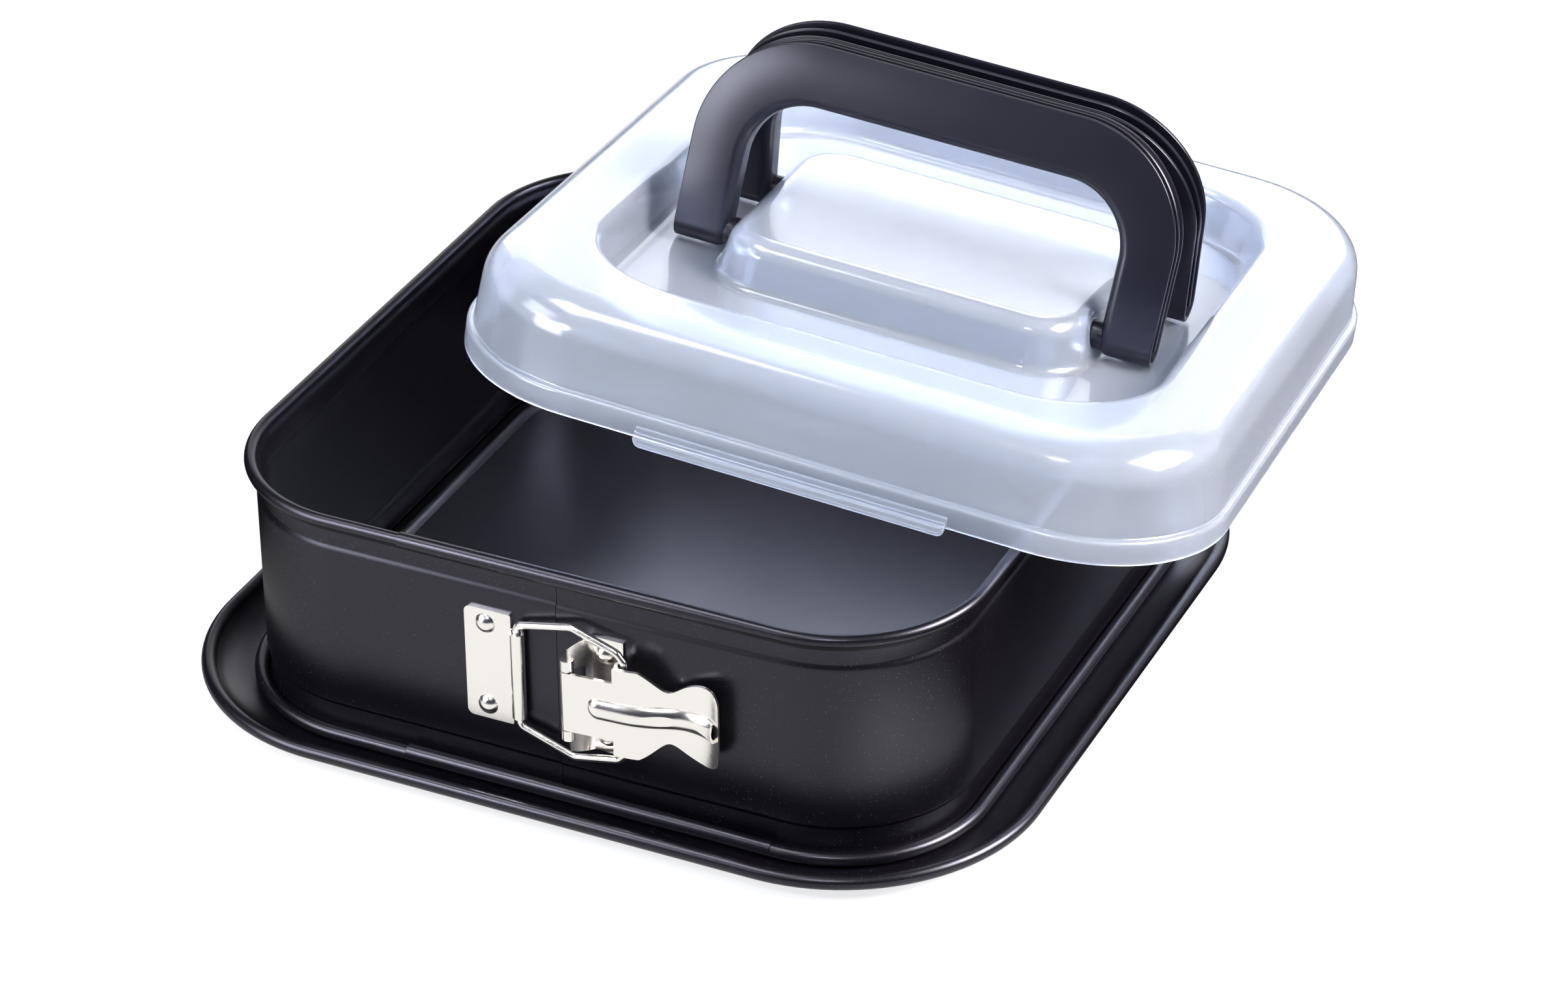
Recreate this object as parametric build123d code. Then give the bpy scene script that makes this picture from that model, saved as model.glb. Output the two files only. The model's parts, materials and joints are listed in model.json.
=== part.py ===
"""Square springform cake carrier.

A base tray carries a latched sheet-metal ring, and a clear lid with two folding
handles lies askew on the ring's rim, as it does while the cake is being taken out.
Millimetres, +Z up.  The origin is the centre of the tray's underside.  +X runs to the
right along the latch wall, which faces -Y.
"""
from build123d import *
import math
import os

# ------------------------------------------------------------------ ring
rim_width = 244.5            # across the pan, between the centrelines of its rolled rim
ring_corner = 46.3           # plan radius of the rim's centreline
sheet = 0.8                  # coated sheet steel
rim_radius = 2.0             # rolled top rim
bead_radius = 2.2            # rolled foot bead
bead_out = 1.1               # foot bead's centre, outside the rim's centre
ring_height = 81.9           # foot to top of rim
wall_back = 1.3              # main wall's outer face, inside the rim's centreline
neck_depth = 9.5             # rim's centre down to the shoulder
neck_inset = 0.8             # the neck lies this far inside the main wall
ledge_depth = 4.2            # rolled edge's return, below the rim's centre
ledge_out = 0.9              # how far that return stands out of the neck
groove_height = 13.0         # foot groove, above the ring's foot
groove_inset = 1.2           # depth of the foot groove
shoulder_slope = 2.5         # height over which the wall steps in or out
seam_x = 2.1                 # edge of the outer sheet where the ring's ends overlap
lap_step = 0.6               # how far the outer sheet stands out
lap_flat = 32.0              # width of the full overlap, right of the seam
lap_fade = 40.0              # width over which the overlap dies away
lap_edge = 0.05              # how far the outer sheet stands out where it ends
sleeve_left = 52.5           # the rolled edges' sleeves reach this far left of the seam
sleeve_wall = 0.45           # sheet thickness of the sleeves

# ------------------------------------------------------------------ tray
tray_margin = 17.8           # tray rim's centre, outside the ring rim's centre
tray_rim_radius = 2.3
tray_rim_height = 6.85       # tray rim's centre above the table
foot_play = 0.3              # ring's foot above the tray's channel
flange_start = 4.6           # the channel ends here, outside the ring rim's centre
dish_along = 0.62            # the flange is dished: this share of its way out is climbed by
dish_up = 0.30               # only this share of its height
rib_height = 2.0             # embossed rib that centres the ring
rib_width = 5.6
rib_play = 0.7               # between the rib and the ring's inner wall
floor_overlap = 22.0         # the swept edge of the tray reaches this far inwards

# ------------------------------------------------------------------ latch
latch_height = 43.3          # middle of the latch above the table
latch_sheet = 1.0
plate_left = -29.4           # anchor plate
plate_right = -13.5
plate_tall = 39.6
plate_round = 2.2
plate_corner = 0.6           # the corners beside the knuckle are nearly square
rivet_spacing = 29.6         # upper to lower rivet, both pairs
anchor_rivet_x = -22.3
bracket_rivet_x = 18.9
rivet_head_radius = 3.4
rivet_head_height = 1.9
rivet_shank_radius = 1.9
rivet_tail_radius = 2.9
rivet_tail_height = 0.8
rivet_play = 0.03
wire_radius = 1.2            # bail
wire_play = 0.1              # bail in its knuckle
knuckle_x = -10.6
knuckle_out = 2.4            # knuckle's axis, outside the ring's wall
knuckle_tall = 30.6
knuckle_end_play = 1.6       # between the knuckle's end and the bail
bracket_end_play = 1.75      # between the bracket's end and the bail's widest place
bail_belly_x = 9.0
bail_neck_x = 24.7
bail_neck_tall = 38.6        # bail's width at its neck, wire centre to wire centre
bail_foot_bend = 2.4         # inner bends of the wire, on its centre
bail_belly_bend = 4.0
bail_neck_bend = 3.0
bail_hook_bend = 1.9
hook_x = 27.3                # bail's inturned ends
hook_out = 5.6
hook_end_play = 0.8          # between the lever's shoulder and the ends' bends, on the wire's centre
hook_length = 3.9            # each end, from its bend to its tip
hook_play = 0.9              # bail end in the lever's curl
hook_curl_tall = 4.0         # length of each curl
curl_lip = 4.2               # the curl's mouth opens this far back under the lever
pivot_x = 9.0                # lever's pivot
pivot_out = 7.6
pin_radius = 1.1
pin_play = 0.08
bracket_tall = 41.0
bracket_right = 25.0
bracket_bend_x = 14.2        # the bracket's plate turns out to the pivot here
bracket_round = 8.5
ear_play = 0.35              # lever's barrel between the bracket's ears
ear_knuckle = 3.6            # length of each ear's knuckle
window_margin = 1.0          # the window between the ears starts this far from the bracket's bend
lever_barrel_tall = 20.8
lever_shoulder_x = 24.6
lever_shoulder_end = 32.6
lever_shoulder_tall = 31.2
lever_waist_x = 41.2
lever_waist_tall = 18.4
lever_tip_x = 59.0
lever_tip_tall = 28.0
lever_tip_round = 5.5
lever_low_x = 45.2           # the lever lies closest to the wall here
lever_low_out = 3.9          # outer face of the lever there
lever_tip_out = 7.2          # outer face at the flared tip
lever_flare = 0.75           # slope of the lever at its tip, away from the wall
waist_fall = 0.55            # slope of the lever's edge where its waist begins
tip_spread = 0.1             # slope of the lever's edge where its waist ends
lever_rib_height = 1.9       # embossed rib along the lever
lever_rib_round = 4.8        # radius of its section
lever_rib_start = 15.0
lever_rib_end = 2.2          # the rib runs out this far from the tip

# ------------------------------------------------------------------ lid
lid_wall = 1.4
lid_rim_play = 0.35          # between the lid's skirt and the ring's rim, when closed
join = 1.0                   # how far forms that are joined run into each other
tiny = 0.01                  # two places closer than this are the same
skirt_height = 8.0
skirt_step = 2.1             # the dome lies this far inside the skirt
dome_height = 36.0           # above the skirt's lower edge
dome_draft = 4.5
dome_round = 14.0
recess_width = 187.0         # across the recess at its lip
recess_corner = 38.0
recess_floor = 19.6          # above the skirt's lower edge
recess_draft = 12.5
recess_lip_round = 4.5
recess_floor_round = 4.0
island_length = 125.0        # raised island in the recess, at its base
island_width = 96.0
island_corner = 19.0
island_draft = 12.0
island_round = 7.0
island_foot_round = 3.5
tab_length = 102.0           # lifting tabs on the front and rear of the skirt
tab_top = 3.9
tab_drop = 2.2               # below the skirt's lower edge
tab_out = 2.6
tab_steps = 3
tab_corner = 2.4

# ------------------------------------------------------------------ handles
leg_play = 1.2               # between a leg and the island's foot
handle_leg = 17.8            # width of a leg
handle_bar = 20.6            # height of the grip bar
fold_play = 2.3              # between the folded bar and the foot of the recess wall
handle_thick = 11.5
handle_corner = 38.0         # outer corner radius
handle_inner_corner = 21.0
handle_wall = 1.5            # walls of the channel
handle_groove = 11.0         # depth of the channel's two grooves
handle_soft_edge = 3.4       # rounding of the grip side
bar_play = 0.7               # between the two bars, which stand leaning in against each other
pivot_spread = 40.0          # between the two handles' pivot axes
floor_play = 0.6             # foot above the recess floor
boss_radius = 4.7            # round boss on the leg, in a pocket of the island's end wall
boss_play = 0.4
pocket_depth = 1.8           # on the handle's axis
peg_radius = 2.5
peg_play = 0.1
peg_length = 3.0             # beyond the boss
eye_wall = 1.6               # bearing eye behind the pocket
eye_depth = 3.4

# ------------------------------------------------------------------ lid's place on the ring
rest_right_y = -53.4         # the skirt's front edge crosses the right rim here
rest_back_x = -89.2          # the skirt's left edge crosses the back rim here
rest_play = 0.4              # between the lid and the rim at its three rests
lid_turn = 4.56              # the lid is turned this far anticlockwise

# ------------------------------------------------------------------ worked out
ring_half = rim_width / 2
wall_out = -wall_back
foot_z = sheet + foot_play
rim_z = foot_z + ring_height - rim_radius
bead_z = foot_z + bead_radius
latch_wall = ring_half + wall_out
lid_half = ring_half + rim_radius + lid_rim_play + lid_wall
lid_corner = ring_corner + lid_half - ring_half
barrel_radius = pin_radius + pin_play + latch_sheet
curl_radius = wire_radius + hook_play
bail_foot_tall = knuckle_tall + 2 * (wire_radius + knuckle_end_play)
bail_belly_tall = bracket_tall + 2 * (wire_radius + bracket_end_play)
hook_tall = lever_shoulder_tall + 2 * hook_end_play
hook_tip_tall = hook_tall - 2 * hook_length
recess_foot = recess_width / 2 - (dome_height - recess_floor) * math.tan(math.radians(recess_draft))
handle_width = island_length + 2 * (leg_play + handle_leg)
handle_reach = recess_foot - fold_play - pivot_spread / 2
handle_pivot_z = recess_floor + floor_play + handle_thick / 2
island_end = island_length / 2 - (handle_pivot_z - recess_floor) * math.tan(math.radians(island_draft))
pocket_end = island_end - pocket_depth
bar_offset = math.atan2(handle_thick / 2, handle_reach)
bar_lean = math.asin((pivot_spread - bar_play) / 2 / math.hypot(handle_reach, handle_thick / 2))
handle_lean = math.degrees(bar_lean - bar_offset)


def resting_place():
    """Where the lid lies, from its three rests on the rim.

    The skirt's lower edge crosses the rim on the right and at the back, and the underside of
    the recess lies on the rim's back right corner.
    """
    right = Vector(ring_half, rest_right_y, rim_z)
    back = Vector(rest_back_x, ring_half, rim_z)
    across = (back - right).normalized()
    downhill = Vector(across.Y, -across.X, 0)
    corner = Vector(1, 1, 0) * (ring_half - ring_corner) + downhill * ring_corner
    slope = (recess_floor - lid_wall) / downhill.dot(corner - right)
    normal = downhill * slope + Vector(0, 0, math.sqrt(1 - slope ** 2))
    heading = Vector(math.cos(math.radians(lid_turn)), math.sin(math.radians(lid_turn)), 0)
    sideways = normal.cross(heading).normalized()
    ahead = sideways.cross(normal)
    skirt_middle = lid_half - lid_wall / 2
    centre = ahead * (ahead.dot(back) + skirt_middle)
    centre += sideways * (sideways.dot(right) + skirt_middle)
    centre += normal * (normal.dot(right) + rim_radius + rest_play)
    return Location(Plane(origin=centre, x_dir=ahead, z_dir=normal))


lid_place = resting_place()


def square(half, corner):
    """A rounded square, centred on the origin."""
    return RectangleRounded(2 * half, 2 * half, corner)


def around(section):
    """Sweep a section round the pan: its x is measured outwards from the rim's centreline."""
    path = square(ring_half, ring_corner).wire()
    start = path @ 0
    along = path % 0
    outwards = Vector(along.Y, -along.X, 0)
    return sweep(Plane(origin=start, x_dir=outwards, z_dir=-along) * section, path=path)


def outline(points):
    """A filled outline through the points, with straight sides."""
    return make_face(Polyline(*points, close=True))


def at_latch(x, out):
    """A point of the latch, from its place along the wall and its distance out of it."""
    return Vector(x, -latch_wall - out, latch_height)


def upright(sketch, tall, base=0.0):
    """Extrude a sketch drawn in (along the wall, out of the wall) upwards, about the latch's middle."""
    plane = Plane(origin=(0, -latch_wall, latch_height + base), x_dir=(1, 0, 0), z_dir=(0, 0, -1))
    return extrude(plane * sketch, amount=tall / 2, both=True)


def facing(sketch, depth):
    """Extrude a sketch drawn in (along the wall, up) out of the latch wall."""
    plane = Plane(origin=(0, -latch_wall, latch_height), x_dir=(1, 0, 0), z_dir=(0, -1, 0))
    return extrude(plane * sketch, amount=depth)


# ------------------------------------------------------------------ tray and ring
def base_tray():
    half = ring_half - floor_overlap
    floor = extrude(square(half, ring_corner - floor_overlap), amount=sheet)
    rib_end = -rim_radius - groove_inset - rib_play
    rib_start = rib_end - rib_width
    rim = (tray_margin, tray_rim_height)
    climb_end = (tray_margin - tray_rim_radius + sheet / 2, tray_rim_height)

    def run(z):
        rib_top = (rib_start + rib_end) / 2, z + rib_height
        return [
            Line((-floor_overlap, z), (rib_start, z)),
            ThreePointArc((rib_start, z), rib_top, (rib_end, z)),
            Line((rib_end, z), (flange_start, z)),
        ]

    def climb(z):
        start = (flange_start, z)
        end = (climb_end[0], climb_end[1] - sheet + z)
        middle = (start[0] + dish_along * (end[0] - start[0]), start[1] + dish_up * (end[1] - start[1]))
        return ThreePointArc(start, middle, end)

    upper = run(sheet) + [climb(sheet)]
    lower = run(0) + [climb(0)]
    ends = [
        Line((-floor_overlap, 0), (-floor_overlap, sheet)),
        Line(upper[-1] @ 1, lower[-1] @ 1),
    ]
    section = make_face(upper + lower + ends) + Pos(*rim) * Circle(tray_rim_radius)
    return floor + around(section)


def ring_outer_line():
    """The ring wall's outer line from the foot groove up to the rim."""
    groove_top = foot_z + groove_height
    shoulder = rim_z - neck_depth
    ledge = rim_z - ledge_depth
    groove = wall_out - groove_inset
    neck = wall_out - neck_inset
    return [
        (groove, foot_z + sheet),
        (groove, groove_top - shoulder_slope),
        (wall_out, groove_top),
        (wall_out, shoulder - shoulder_slope),
        (neck, shoulder),
        (neck, ledge),
        (neck + ledge_out, ledge),
        (neck + ledge_out, rim_z),
    ]


def ring_section():
    outer = ring_outer_line()
    inner = [(u - sheet, z) for u, z in outer[1:6]]
    groove = outer[0][0]
    wall = outline(outer + [(-rim_radius, rim_z)] + inner[::-1] + [(groove - sheet, foot_z)]
                   + [(bead_out, foot_z), (bead_out, foot_z + sheet)])
    return wall + Pos(0, rim_z) * Circle(rim_radius) + Pos(bead_out, bead_z) * Circle(bead_radius)


def lap_section(thickness):
    line = ring_outer_line()[:6]
    lifted = [(u + thickness, z) for u, z in line]
    return outline(line + lifted[::-1])


def front_section(sketch, x):
    """Place a section of the ring on the front wall at x."""
    return Plane(origin=(x, -ring_half, 0), x_dir=(0, -1, 0), z_dir=(-1, 0, 0)) * sketch


def rolled_sleeve(radius, u, z, rise=0.0):
    """The overlapping end of a rolled edge: a sleeve that fades into the edge on the right."""
    left = seam_x - sleeve_left
    flat_end = seam_x + lap_flat
    rolled = Pos(u, z + rise) * Circle(radius + sleeve_wall)
    straight = extrude(front_section(rolled, left), amount=flat_end - left, dir=(1, 0, 0))
    wide = front_section(rolled, flat_end)
    narrow = front_section(Pos(u, z) * Circle(radius), flat_end + lap_fade)
    return straight + loft([wide, narrow])


def ring_band():
    band = around(ring_section())
    flat_end = seam_x + lap_flat
    band += extrude(front_section(lap_section(lap_step), seam_x), amount=lap_flat, dir=(1, 0, 0))
    full = front_section(lap_section(lap_step), flat_end)
    faded = front_section(lap_section(lap_edge), flat_end + lap_fade)
    band += loft([full, faded], ruled=True)
    band += rolled_sleeve(rim_radius, 0, rim_z)
    band += rolled_sleeve(bead_radius, bead_out, bead_z, sleeve_wall)
    for x in (anchor_rivet_x, bracket_rivet_x):
        for side in (-1, 1):
            hole = Pos(x, side * rivet_spacing / 2) * Circle(rivet_shank_radius + rivet_play)
            band -= Pos(0, sheet, 0) * facing(hole, sheet + lap_step)
    return band


# ------------------------------------------------------------------ latch
def anchor_plate():
    middle = (plate_left + plate_right) / 2
    width = plate_right - plate_left
    shape = Pos(middle, 0) * Rectangle(width, plate_tall)
    shape = fillet(shape.vertices().group_by(Axis.X)[0], plate_round)
    shape = fillet(shape.vertices().group_by(Axis.X)[-1], plate_corner)
    plate = facing(shape, latch_sheet)
    tongue_middle = (anchor_rivet_x + knuckle_x) / 2
    tongue = facing(Pos(tongue_middle, 0) * Rectangle(knuckle_x - anchor_rivet_x, knuckle_tall), latch_sheet)
    barrel = Pos(knuckle_x, knuckle_out) * Circle(wire_radius + wire_play + latch_sheet)
    bore = Pos(knuckle_x, knuckle_out) * Circle(wire_radius + wire_play)
    part = plate + tongue + upright(barrel, knuckle_tall) - upright(bore, knuckle_tall)
    for side in (-1, 1):
        hole = Pos(anchor_rivet_x, side * rivet_spacing / 2) * Circle(rivet_shank_radius + rivet_play)
        part -= facing(hole, latch_sheet)
    return part


def rivet(x, side, lift):
    """A rivet through the ring's wall: domed head outside, flat tail inside."""
    base = lift + latch_sheet
    depth = base + sheet
    cap = (rivet_head_radius ** 2 + rivet_head_height ** 2) / (2 * rivet_head_height)
    head = Pos(0, 0, rivet_head_height - cap) * Sphere(cap)
    head &= Pos(0, 0, rivet_head_height) * Cylinder(rivet_head_radius, 2 * rivet_head_height)
    shank = Pos(0, 0, -depth / 2) * Cylinder(rivet_shank_radius, depth)
    tail = Pos(0, 0, -depth - rivet_tail_height / 2) * Cylinder(rivet_tail_radius, rivet_tail_height)
    place = Plane(origin=(x, -latch_wall - base, latch_height + side * rivet_spacing / 2),
                  x_dir=(1, 0, 0), z_dir=(0, -1, 0))
    return place * (head + shank + tail)


def tube(x, out, inner, outer, tall, base=0.0):
    ring = Pos(x, out) * (Circle(outer) - Circle(inner))
    return upright(ring, tall, base)


def lever_bracket():
    foot = lap_step
    plate = [(bracket_bend_x, foot), (bracket_right, foot), (bracket_right, foot + latch_sheet)]
    run = Vector(pivot_x - bracket_bend_x, pivot_out - foot).normalized()
    side = Vector(run.Y, -run.X) * latch_sheet
    bend = Vector(bracket_bend_x, foot)
    reach = run * (Vector(pivot_x, pivot_out) - bend).length
    arm = [bend, bend + reach, bend + reach + side, bend + side]
    sheet_form = outline(plate + [(bracket_bend_x, foot + latch_sheet)])
    sheet_form += outline([(p.X, p.Y) for p in arm])
    form = upright(sheet_form, bracket_tall)
    left = pivot_x - barrel_radius
    shape = Pos((left + bracket_right) / 2, 0) * Rectangle(bracket_right - left, bracket_tall)
    shape = fillet(shape.vertices().group_by(Axis.X)[0], bracket_round)
    form &= facing(shape, 2 * pivot_out)
    window_tall = lever_barrel_tall + 2 * ear_play
    window_end = bracket_bend_x - window_margin
    window = Pos((left + window_end) / 2, 0) * Rectangle(window_end - left, window_tall)
    form -= facing(window, 2 * pivot_out)
    for way in (-1, 1):
        middle = way * (window_tall + ear_knuckle) / 2
        form += tube(pivot_x, pivot_out, pin_radius, barrel_radius, ear_knuckle, middle)
        form -= upright(Pos(pivot_x, pivot_out) * Circle(pin_radius), ear_knuckle, middle)
        hole = Pos(bracket_rivet_x, way * rivet_spacing / 2) * Circle(rivet_shank_radius + rivet_play)
        form -= facing(hole, foot + latch_sheet)
    return form


def lever_pin():
    tall = lever_barrel_tall + 2 * (ear_play + ear_knuckle)
    return upright(Pos(pivot_x, pivot_out) * Circle(pin_radius), tall)


def lever_line(lift):
    """The lever's long profile: out over the pivot, down to the waist, and up to the flared tip."""
    top = pivot_out + barrel_radius - latch_sheet + lift
    hook_top = hook_out + curl_radius + lift
    low = lever_low_out - latch_sheet + lift
    tip = lever_tip_out - latch_sheet + lift
    first = Line((pivot_x, top), (hook_x, hook_top))
    middle = Spline((hook_x, hook_top), (lever_low_x, low), (lever_tip_x, tip),
                    tangents=(first % 1, (1, lever_flare)))
    return [first, middle]


def lever_sheet(lower, upper):
    low = lever_line(lower)
    high = lever_line(upper)
    ends = [Line(low[0] @ 0, high[0] @ 0), Line(low[1] @ 1, high[1] @ 1)]
    return make_face(low + high + ends)


def lever_plan():
    barrel = lever_barrel_tall / 2
    shoulder = lever_shoulder_tall / 2
    waist = lever_waist_tall / 2
    tip = lever_tip_tall / 2
    corner_x = lever_tip_x - lever_tip_round
    half = [
        Line((pivot_x, barrel), (lever_shoulder_x, barrel)),
        Line((lever_shoulder_x, barrel), (lever_shoulder_x, shoulder)),
        Line((lever_shoulder_x, shoulder), (lever_shoulder_end, shoulder)),
        Spline((lever_shoulder_end, shoulder), (lever_waist_x, waist), (corner_x, tip),
               tangents=((1, -waist_fall), (1, tip_spread))),
        Spline((corner_x, tip), (lever_tip_x, tip - lever_tip_round), tangents=((1, tip_spread), (0, -1))),
        Line((lever_tip_x, tip - lever_tip_round), (lever_tip_x, 0)),
        Line((lever_tip_x, 0), (pivot_x, 0)),
        Line((pivot_x, 0), (pivot_x, barrel)),
    ]
    upper = make_face(half)
    return upper + mirror(upper, about=Plane.XZ)


def lever_rib(radius):
    """The round form of the embossed rib, with a ball at its start; its lower part is sunk."""
    path = lever_line(latch_sheet + lever_rib_height - lever_rib_round)
    first, rest = path
    begin = lever_rib_start + lever_rib_round
    along = Line(first @ ((begin - pivot_x) / (hook_x - pivot_x)), first @ 1)
    plane = Plane(origin=(0, -latch_wall, latch_height), x_dir=(1, 0, 0), z_dir=(0, 0, -1))
    route = plane * Wire([along, rest])
    start = Plane(origin=route @ 0, z_dir=route % 0)
    tube = sweep(start * Circle(radius), path=route)
    form = tube + Pos(route @ 0) * Sphere(radius)
    reach = upright(outline([(0, -pivot_out), (lever_tip_x - lever_rib_end, -pivot_out),
                             (lever_tip_x - lever_rib_end, 3 * pivot_out), (0, 3 * pivot_out)]),
                    lever_shoulder_tall)
    return form & reach


def latch_lever():
    body = upright(lever_sheet(0, latch_sheet), lever_shoulder_tall) & facing(lever_plan(), 3 * pivot_out)
    raised = upright(lever_sheet(0, latch_sheet + lever_rib_height), lever_shoulder_tall)
    body += raised & lever_rib(lever_rib_round)
    body -= lever_rib(lever_rib_round - latch_sheet)
    inner = pin_radius + pin_play
    body -= upright(Pos(pivot_x, pivot_out) * Circle(inner), lever_barrel_tall)
    body += tube(pivot_x, pivot_out, inner, barrel_radius, lever_barrel_tall)
    curl = Circle(curl_radius + latch_sheet) - Circle(curl_radius)
    open_side = outline([(0, 0), (0, 2 * pivot_out), (2 * pivot_out, 2 * pivot_out),
                         (2 * pivot_out, -2 * pivot_out), (-curl_lip, -2 * pivot_out)])
    curl -= open_side
    for way in (-1, 1):
        middle = way * (lever_shoulder_tall - hook_curl_tall) / 2
        body += upright(Pos(hook_x, hook_out) * curl, hook_curl_tall, middle)
    return body


def bail_wire():
    """The bail: one bent wire, from one inturned end round the knuckle to the other."""
    root = Vector(knuckle_x, knuckle_out)
    run = Vector(hook_x, hook_out) - root
    slope = run.Y / run.X
    stretch = math.hypot(1, slope)

    def along(x):
        return (x - knuckle_x) * stretch

    half = [
        (run.length, hook_tip_tall / 2),
        (run.length, hook_tall / 2),
        (along(bail_neck_x), bail_neck_tall / 2),
        (along(bail_belly_x), bail_belly_tall / 2),
        (0, bail_foot_tall / 2),
    ]
    points = half + [(s, -z) for s, z in half[::-1]]
    plane = Plane(origin=at_latch(knuckle_x, knuckle_out), x_dir=(1, -slope, 0),
                  z_dir=(-slope, -1, 0))
    bends = [bail_hook_bend, bail_neck_bend, bail_belly_bend, bail_foot_bend]
    route = plane * FilletPolyline(*points, radius=bends + bends[::-1])
    start = Plane(origin=route @ 0, z_dir=route % 0)
    return sweep(start * Circle(wire_radius), path=route)


# ------------------------------------------------------------------ lid
def lid_form(inset):
    """The lid's solid form, every face moved inwards by the inset."""
    bottom = -join if inset else 0
    skirt = extrude(Pos(0, 0, bottom) * square(lid_half - inset, lid_corner - inset),
                    amount=skirt_height - inset - bottom)
    dome_base = square(lid_half - skirt_step - inset, lid_corner - skirt_step - inset)
    dome = extrude(Pos(0, 0, skirt_height - inset - join) * dome_base,
                   amount=dome_height - skirt_height + join, taper=dome_draft)
    dome = fillet(dome.faces().sort_by(Axis.Z)[-1].edges(), dome_round - inset)
    recess = extrude(Pos(0, 0, dome_height - inset) * square(recess_width / 2 + inset, recess_corner + inset),
                     amount=dome_height - recess_floor, dir=(0, 0, -1), taper=recess_draft)
    recess = fillet(recess.faces().sort_by(Axis.Z)[0].edges(), recess_floor_round + inset)
    body = skirt + dome - recess
    top = body.faces().filter_by(Axis.Z).sort_by(Axis.Z)[-1]
    lip = top.inner_wires()[0].edges()
    body = fillet(lip, recess_lip_round - inset)
    island_base = RectangleRounded(island_length - 2 * inset, island_width - 2 * inset, island_corner - inset)
    island = extrude(Pos(0, 0, recess_floor - inset) * island_base,
                     amount=dome_height - recess_floor, taper=island_draft)
    island = fillet(island.faces().sort_by(Axis.Z)[-1].edges(), island_round - inset)
    body += island
    foot = [e for e in body.edges() if is_island_foot(e, inset)]
    return fillet(foot, island_foot_round + inset)


def is_island_foot(edge, inset):
    """Edges where the island meets the recess floor."""
    middle = edge @ 0.5
    level = abs(middle.Z - recess_floor + inset) < tiny and abs((edge @ 0).Z - middle.Z) < tiny
    return level and abs(middle.X) <= island_length / 2 and abs(middle.Y) <= island_width / 2


def lifting_tab():
    """A stepped grip along the middle of the skirt's front."""
    step = tab_out / tab_steps
    drop = (tab_top + tab_drop) / tab_steps
    points = [(-lid_wall / 2, tab_top)]
    for i in range(tab_steps):
        points += [((i + 1) * step, tab_top - i * drop), ((i + 1) * step, tab_top - (i + 1) * drop)]
    points += [(tab_out - lid_wall, -tab_drop), (-lid_wall / 2, 0)]
    section = Plane(origin=(-tab_length / 2, -lid_half, 0), x_dir=(0, -1, 0), z_dir=(-1, 0, 0)) * outline(points)
    tab = extrude(section, amount=tab_length, dir=(1, 0, 0))
    tall = tab_top + tab_drop
    front = Pos(0, tab_top - tall / 2) * Rectangle(tab_length, tall)
    front = fillet(front.vertices().group_by(Axis.Y)[0], tab_corner)
    return tab & extrude(Plane.XZ * front, amount=2 * lid_half)


def lid_shell():
    outer = lid_form(0)
    shell = outer - lid_form(lid_wall)
    pocket_radius = boss_radius + boss_play
    for side in (-1, 1):
        for end in (-1, 1):
            place = Pos(0, side * pivot_spread / 2, handle_pivot_z) * Rot(0, end * 90, 0)
            eye = Cylinder(pocket_radius + eye_wall, pocket_depth + eye_depth)
            shell += place * Pos(0, 0, pocket_end + (pocket_depth - eye_depth) / 2) * eye & outer
            pocket = Cylinder(pocket_radius, 2 * pocket_depth)
            shell -= place * Pos(0, 0, pocket_end + pocket_depth) * pocket
            bore = Cylinder(peg_radius + peg_play, 4 * eye_depth)
            shell -= place * Pos(0, 0, pocket_end) * bore
    tab = lifting_tab()
    shell += tab + Rot(0, 0, 180) * tab
    return shell


# ------------------------------------------------------------------ handles
def handle():
    """One handle, standing upright: pivot axis along X through the origin."""
    half = handle_width / 2
    inner_half = half - handle_leg
    depth = handle_reach
    arch = Pos(0, depth / 2) * Rectangle(2 * half, depth)
    arch = fillet(arch.vertices().group_by(Axis.Y)[-1], handle_corner)
    gap_top = depth - handle_bar
    gap = Pos(0, gap_top / 2) * Rectangle(2 * inner_half, gap_top)
    gap = fillet(gap.vertices().group_by(Axis.Y)[-1], handle_inner_corner)
    frame = Plane.XZ * (arch - gap)
    body = extrude(frame, amount=handle_thick / 2, both=True)
    grip = [e for e in body.edges() if is_grip_edge(e, inner_half, gap_top)]
    body = fillet(grip, handle_soft_edge)
    groove_wide = (handle_thick - 3 * handle_wall) / 2
    core = Pos(0, depth / 2 - handle_groove / 2) * Rectangle(2 * (half - handle_groove), depth - handle_groove)
    core = fillet(core.vertices().group_by(Axis.Y)[-1], handle_corner - handle_groove)
    rim_band = arch - core
    for side in (-1, 1):
        middle = side * (groove_wide + handle_wall) / 2
        groove = extrude(Plane.XZ * rim_band, amount=groove_wide / 2, both=True)
        body -= Pos(0, middle, 0) * groove
    foot_middle = half - handle_leg / 2
    for end in (-1, 1):
        foot = Cylinder(handle_thick / 2, handle_leg)
        body += Pos(end * foot_middle, 0, 0) * Rot(0, 90, 0) * foot
        boss_end = pocket_end + boss_play
        boss = Cylinder(boss_radius, inner_half - boss_end)
        body += Pos(end * (inner_half + boss_end) / 2, 0, 0) * Rot(0, 90, 0) * boss
        peg = Cylinder(peg_radius, peg_length)
        body += Pos(end * (boss_end - peg_length / 2), 0, 0) * Rot(0, 90, 0) * peg
    return body


def is_grip_edge(edge, inner_half, gap_top):
    """Edges round the inside of the arch, on its two broad faces."""
    middle = edge @ 0.5
    inside = abs(middle.X) < inner_half + tiny and tiny < middle.Z < gap_top + tiny
    return inside and abs(abs(middle.Y) - handle_thick / 2) < tiny


def placed_handle(side):
    """The handle on its pegs; side is -1 for the front one and +1 for the rear one."""
    place = Pos(0, side * pivot_spread / 2, handle_pivot_z) * Rot(side * handle_lean, 0, 0)
    return lid_place * place * handle()


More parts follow.
